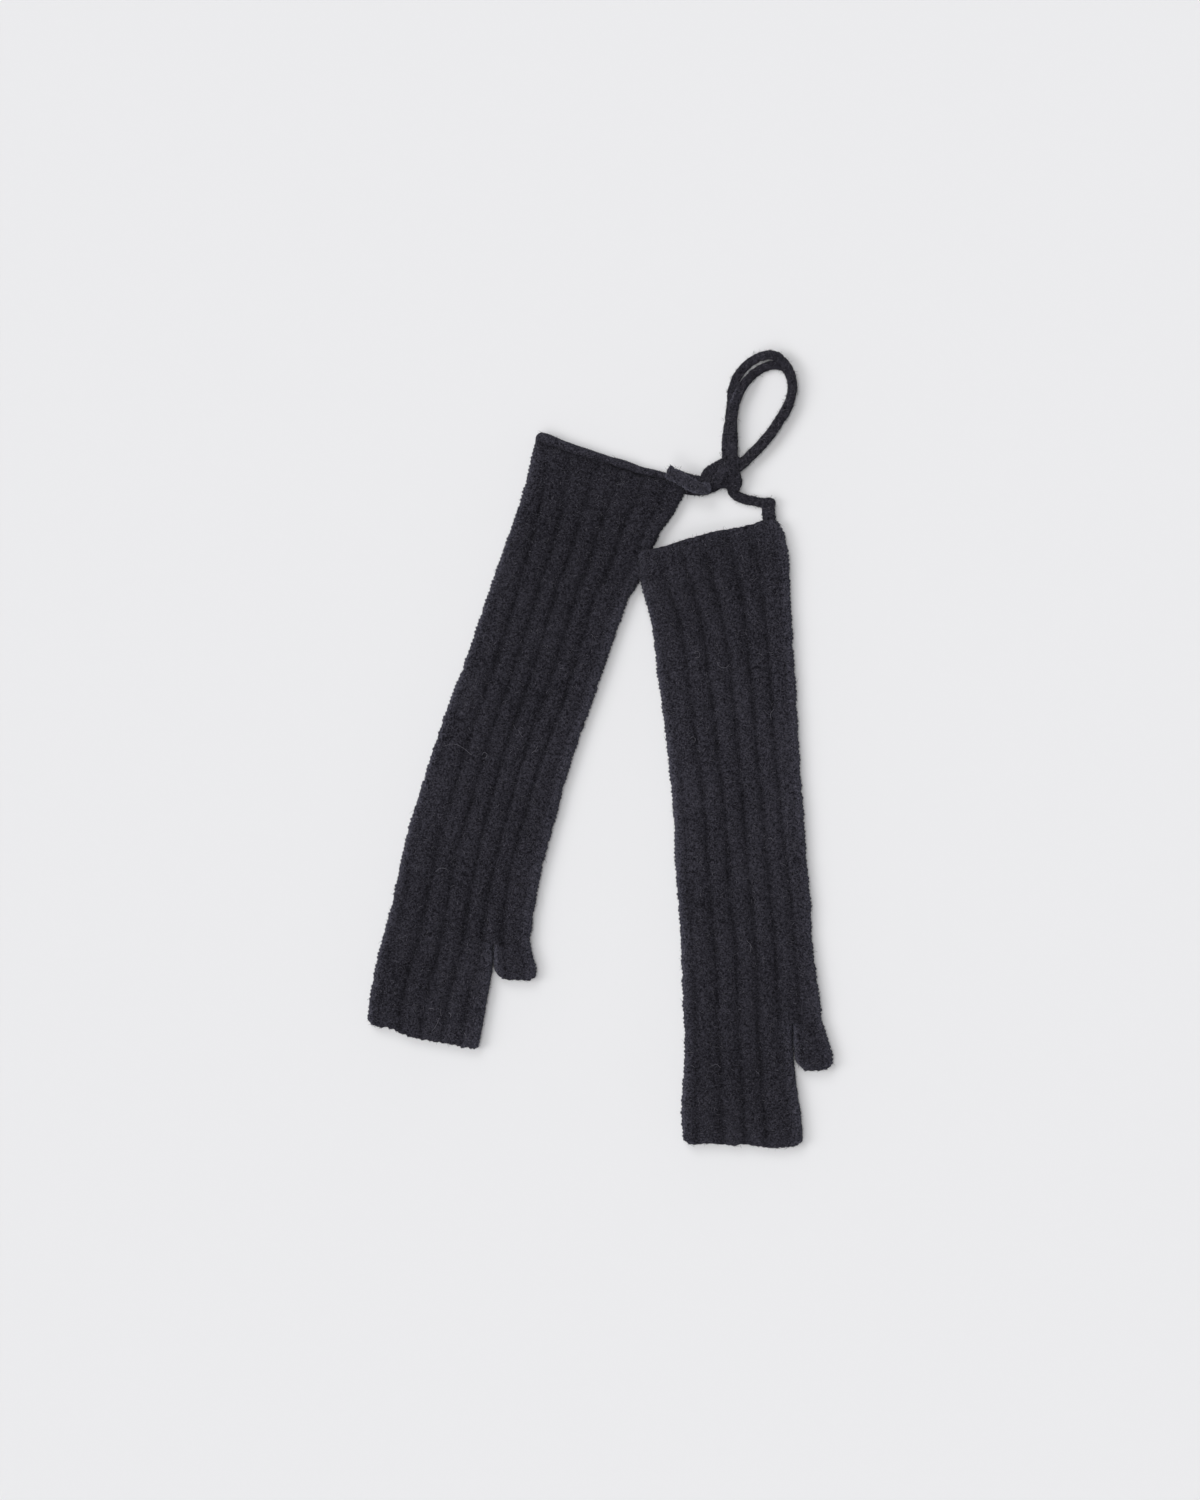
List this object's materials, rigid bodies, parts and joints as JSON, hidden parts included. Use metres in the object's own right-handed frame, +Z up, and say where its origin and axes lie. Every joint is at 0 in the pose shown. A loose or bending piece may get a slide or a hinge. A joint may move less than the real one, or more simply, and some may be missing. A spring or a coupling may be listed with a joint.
{
  "type": "pair of long ribbed fingerless mittens",
  "caption": "Long fisherman's-rib wool mittens with open fingers and thumbs, lying flat, tied together by knit straps in a knot and a loop.",
  "frame": {"origin": "on the surface that the pair lies on, below the middle of the two mittens' outline, straps and knot left out", "axes": "+Z up, away from the surface; +Y along the mittens from the finger edges to the arm openings; +X to the right mitten"},
  "size_m": [0.3479, 0.5957, 0.0159],
  "materials": {
    "rib_wool": "fuzzy felted charcoal rib knit, matt",
    "strap_wool": "fuzzy felted charcoal knit strip, matt"
  },
  "bodies": {
    "root": {"left_mitten": "rib_wool", "left_mitten_thumb": "rib_wool", "right_mitten": "rib_wool", "right_mitten_thumb": "rib_wool", "left_strap": "strap_wool", "right_strap": "strap_wool", "loop_outer_strand": "strap_wool", "loop_inner_strand": "strap_wool", "strap_tail": "strap_wool", "strap_knot": "strap_wool"}
  },
  "joints": []
}
